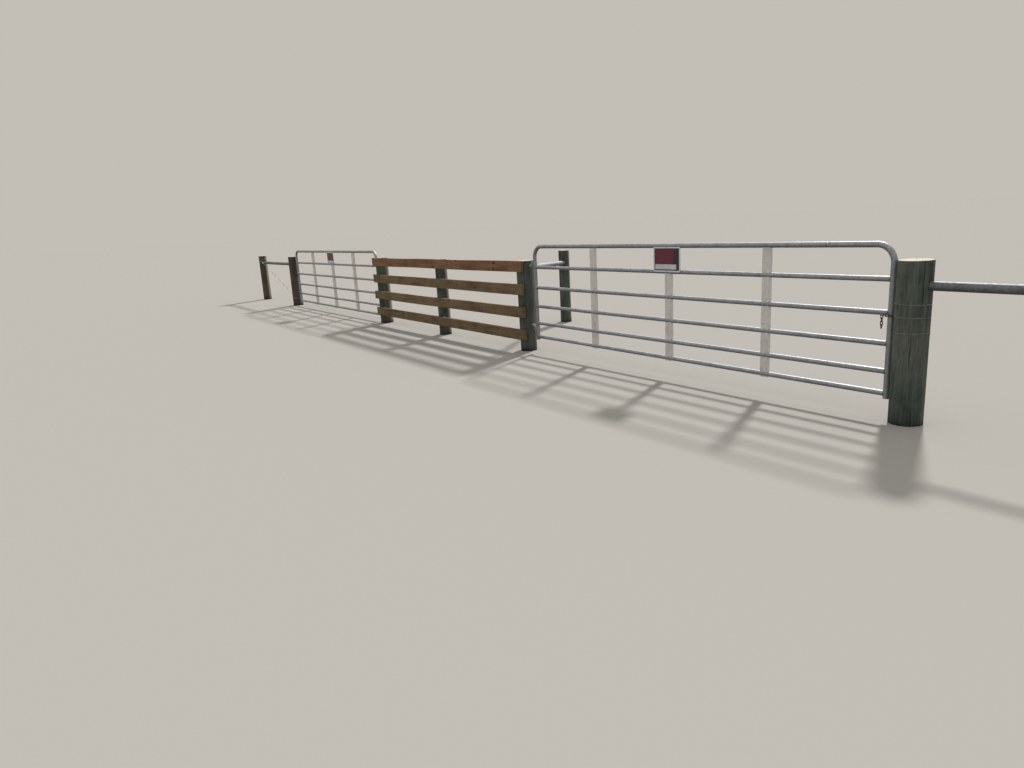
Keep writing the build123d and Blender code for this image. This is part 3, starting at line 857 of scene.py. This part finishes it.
for gate, body in gate_bodies:
    straps, bolts = [], []
    for bolt_level, way in bolt_levels:
        level = bolt_level + way * (hook_turn + seat_gap + strap_h / 2)
        path = [(-wrap_r * cos(a), wrap_r * sin(a)) for a in arc(20, 10, 33)]
        path += [(-wrap_r - 0.001, -0.0062), (-wrap_r - 0.006, -leaf), (-pin_reach + eye_r + eye_end, -leaf)]
        path += [(-pin_reach + eye_r * cos(a), -eye_r * sin(a)) for a in arc(28, 16.9, 19)]
        path += [(-pin_reach + eye_r + eye_end, leaf), (-wrap_r - 0.006, leaf), (-wrap_r - 0.001, 0.0062)]
        bar = [(strap_h / 2 - bar_edge, strap_t / 2), (strap_h / 2, strap_t / 2 - bar_edge)]
        bar += [(a, -b) for a, b in reversed(bar)]
        bar += [(-a, b) for a, b in reversed(bar)]
        points = [on_gate(gate, x, y, level) for x, y in path]
        straps.append(skin(swept(points, bar, looped=True, upright=(0, 0, 1)), looped=True))
        for rise in (-0.012, 0.012):
            for side in (-1, 1):
                centre = on_gate(gate, -0.043, side * 2 * leaf, level + rise)
                bolts.append(skin(turned(centre, (0, side, 0), strap_nut, 6 if side < 0 else 18)))
    strap = solid(f"{gate}_gate_hinge_straps_bar", straps, [hinge_zinc], crease=30)
    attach(strap, body)
    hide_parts(f"{gate}_gate_hinge_straps")
    fixed = solid(f"{gate}_gate_hinge_strap_bolts", bolts, [wire_zinc], crease=25)
    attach(fixed, body)

# Hook bolts.
# Three quarter inch bolts driven through the post and bent square into pins. The lower pin points
# down and the upper one up, so the gate can't be lifted off. A nut and washer draw each one tight.

bolt_zinc = hot_dip_zinc("hot_dip_galvanised_bolt", "#aeb0b2", "#85878a", "#b8b7b4", 6.0)
bolt_depth, pin_long = 0.12, 0.066
hook_washer = [(0.021, -0.002), (0.021, 0.0028), (0.0195, 0.0034)]
hook_nut = [(0.0155, 0.0034), (0.0168, 0.0048), (0.0168, 0.0165), (0.0152, 0.018)]
thread_start, thread_pitch = 0.0185, 0.0025
crest = [(pin_r, 0.0), (pin_r + 0.0009, 0.0012), (pin_r, 0.0024)]
for gate, post_node in (("near", "hinge_post"), ("far", "board_post_left")):
    hinge_x, way_x, lift = gates[gate]
    foot, post_r = posts[post_node]
    face = -(abs(hinge_x - foot.x) - post_r)
    parts = []
    for bolt_level, way in bolt_levels:
        path = [(face - bolt_depth, bolt_level), (face - 0.01, bolt_level)]
        path.append((-pin_reach - hook_turn, bolt_level))
        for a in arc(15, 15, 6):
            path.append((-pin_reach - hook_turn * (1 - sin(a)), bolt_level + way * hook_turn * (1 - cos(a))))
        top = bolt_level + way * (hook_turn + pin_long)
        path += [(-pin_reach, top), (-pin_reach, top + way * 0.002)]
        sizes = [1.0] * (len(path) - 1) + [0.82]
        parts.append(rod([on_gate(gate, x, 0, z) for x, z in path], pin_r, 24, sizes))
        centre = on_gate(gate, face, 0, bolt_level)
        parts.append(skin(turned(centre, (way_x, 0, 0), hook_washer, 28)))
        parts.append(skin(turned(centre, (way_x, 0, 0), hook_nut, 6, 0.26)))
        for turn in range(5):
            ridge = on_gate(gate, face + thread_start + thread_pitch * turn, 0, bolt_level)
            parts.append(skin(turned(ridge, (way_x, 0, 0), crest, 24), capped=False))
    hooks = solid(f"{gate}_gate_hook_bolts_bent", parts, [bolt_zinc], crease=32)
    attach(hooks, "fence")
    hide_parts(f"{gate}_gate_hook_bolts")

# Gate chains.
# Welded chain of 7 mm wire, held by a long staple in the latch post and hung over the free upright,
# its spare links left to dangle. It is the rustiest part of the gate.

rusty_chain = zinc_wire("rusted_welded_chain", "#63534a", "#43332b", "#57331f")
link_wire, link_inner, link_wide = 0.007, 0.027, 0.024
chain_level, chain_gap, link_slack = 0.655, 0.012, 0.0003
staple_out, staple_leg, weld_swell = 0.016, 0.05, 1.12
half = (link_inner + link_wire) / 2
bend = (link_wide - link_wire) / 2


def oval(centre, along, across, stretch=0.0):
    """The centre line of one link: its long way along, its other way across."""
    along, across = Vector(along), Vector(across)
    points = []
    for end in (1, -1):
        for step in range(9):
            turn = pi * step / 8 - pi / 2
            reach = half + stretch - bend + bend * cos(turn)
            points.append(Vector(centre) + along * end * reach + across * end * bend * sin(turn))
    return points


chain_runs = (("near", "near_latch_post", 3, 4), ("far", "far_latch_post", 8, 2))
for gate, post_node, run_links, tail_links in chain_runs:
    foot, post_r = posts[post_node]
    run_y = -(frame_r + chain_gap + link_wide / 2)
    post_x = abs(foot.x - gates[gate][0])
    tip_x = post_x - sqrt(post_r**2 - run_y**2) - staple_out
    place = []
    step = link_inner - link_slack
    x = tip_x + link_wire / 2 - link_inner / 2 + link_slack
    for number in range(run_links):
        place.append(((x, run_y, chain_level), (1, 0, 0), (0, 0, 1) if number % 2 else (0, 1, 0)))
        x -= step
    hang_x = x + step - half
    z = chain_level + link_wire / 2 + link_slack - link_inner / 2
    for number in range(tail_links):
        place.append(((hang_x, run_y, z), (0, 0, 1), (0, 1, 0) if number % 2 else (1, 0, 0)))
        z -= step
    sizes = [1.0] * 8 + [weld_swell] * 2 + [1.0] * 8
    links = []
    for link in place:
        path = [on_gate(gate, *point) for point in oval(*link)]
        links.append(rod(path, link_wire / 2, 10, sizes, looped=True))
    staple = oval((tip_x + half + link_wide, run_y, chain_level), (1, 0, 0), (0, 0, 1), link_wide)[9:]
    leg = Vector((staple_leg, 0, 0))
    legs = [staple[0] + leg] + staple + [staple[-1] + leg]
    links.append(rod([on_gate(gate, *point) for point in legs], link_wire / 2, 10))
    chain = solid(f"{gate}_gate_chain_links", links, [rusty_chain])
    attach(chain, "fence")
    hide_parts(f"{gate}_gate_chain")

# Floor, light and camera.
# A plain pale floor that runs to the horizon, a soft even sky and one broad lamp behind the line of
# gates, low enough to draw a bright line along the top of every tube.

far = 300
floor_mesh = bpy.data.meshes.new("floor")
floor_mesh.from_pydata([(-far, -far, 0), (far, -far, 0), (far, far, 0), (-far, far, 0)], [], [(0, 1, 2, 3)])
floor = placed("floor", floor_mesh)
plain = finish_named("plain_floor")
matt = {"Base Color": "#9f9b94", "Roughness": 0.95, "Specular IOR Level": 0.0}
add(plain, "OutputMaterial", {"Surface": add(plain, "BsdfPrincipled", matt)})
floor_mesh.materials.append(plain)

# The sky lights the object. The eye and what shines see the plain backdrop in its place
world = bpy.data.worlds.new("soft_sky")
bpy.context.scene.world = world
world.use_nodes = True
world.node_tree.nodes.clear()
way_up = add(world, "TexCoord").outputs["Generated"]
height = add(world, "SeparateXYZ", {"Vector": way_up}).outputs["Z"]
sky = add(world, "ValToRGB", {"Fac": height}, [(0.0, 0.3), (0.3, 0.55), (1.0, 1.0)])
air = add(world, "Background", {"Color": sky, "Strength": 0.95})
backdrop = add(world, "Background", {"Color": "#c3beb6", "Strength": 1.0})
rays = add(world, "LightPath").outputs
seen = rays["Is Camera Ray"]
for ray in ("Is Glossy Ray", "Is Transmission Ray"):
    seen = add(world, "Math", {0: seen, 1: rays[ray]}, operation="ADD", use_clamp=True)
both = add(world, "MixShader", {0: seen, 1: air, 2: backdrop})
add(world, "OutputWorld", {"Surface": both})

lamp = bpy.data.lights.new("broad_lamp", "SUN")
lamp.energy, lamp.angle = 4.2, radians(5)
lamp_object = placed("broad_lamp", lamp)
lamp_height = radians(38)
toward = Vector((-0.43 * cos(lamp_height), 0.90 * cos(lamp_height), sin(lamp_height)))
lamp_object.rotation_mode = "QUATERNION"
lamp_object.rotation_quaternion = toward.to_track_quat("Z", "Y")

# The photograph's own view, from a camera fitted to both gates
yaw, pitch, roll = radians(-56.098), radians(12.889), radians(-3.276)
forward = Vector((sin(yaw) * cos(pitch), cos(yaw) * cos(pitch), -sin(pitch)))
level_right = Vector((cos(yaw), -sin(yaw), 0))
level_up = level_right.cross(forward)
right = level_right * cos(roll) + level_up * sin(roll)
upward = level_up * cos(roll) - level_right * sin(roll)
camera_data = bpy.data.cameras.new("camera")
camera_data.sensor_width, camera_data.lens = 36.0, 24.91
camera_data.clip_start, camera_data.clip_end = 0.05, 1000.0
camera = placed("camera", camera_data)
place = Matrix((right, upward, -forward)).transposed().to_4x4()
place.translation = Vector((8.051, -5.739, 1.778))
camera.matrix_world = place
bpy.context.scene.camera = camera
bpy.context.scene.view_settings.view_transform = "Standard"
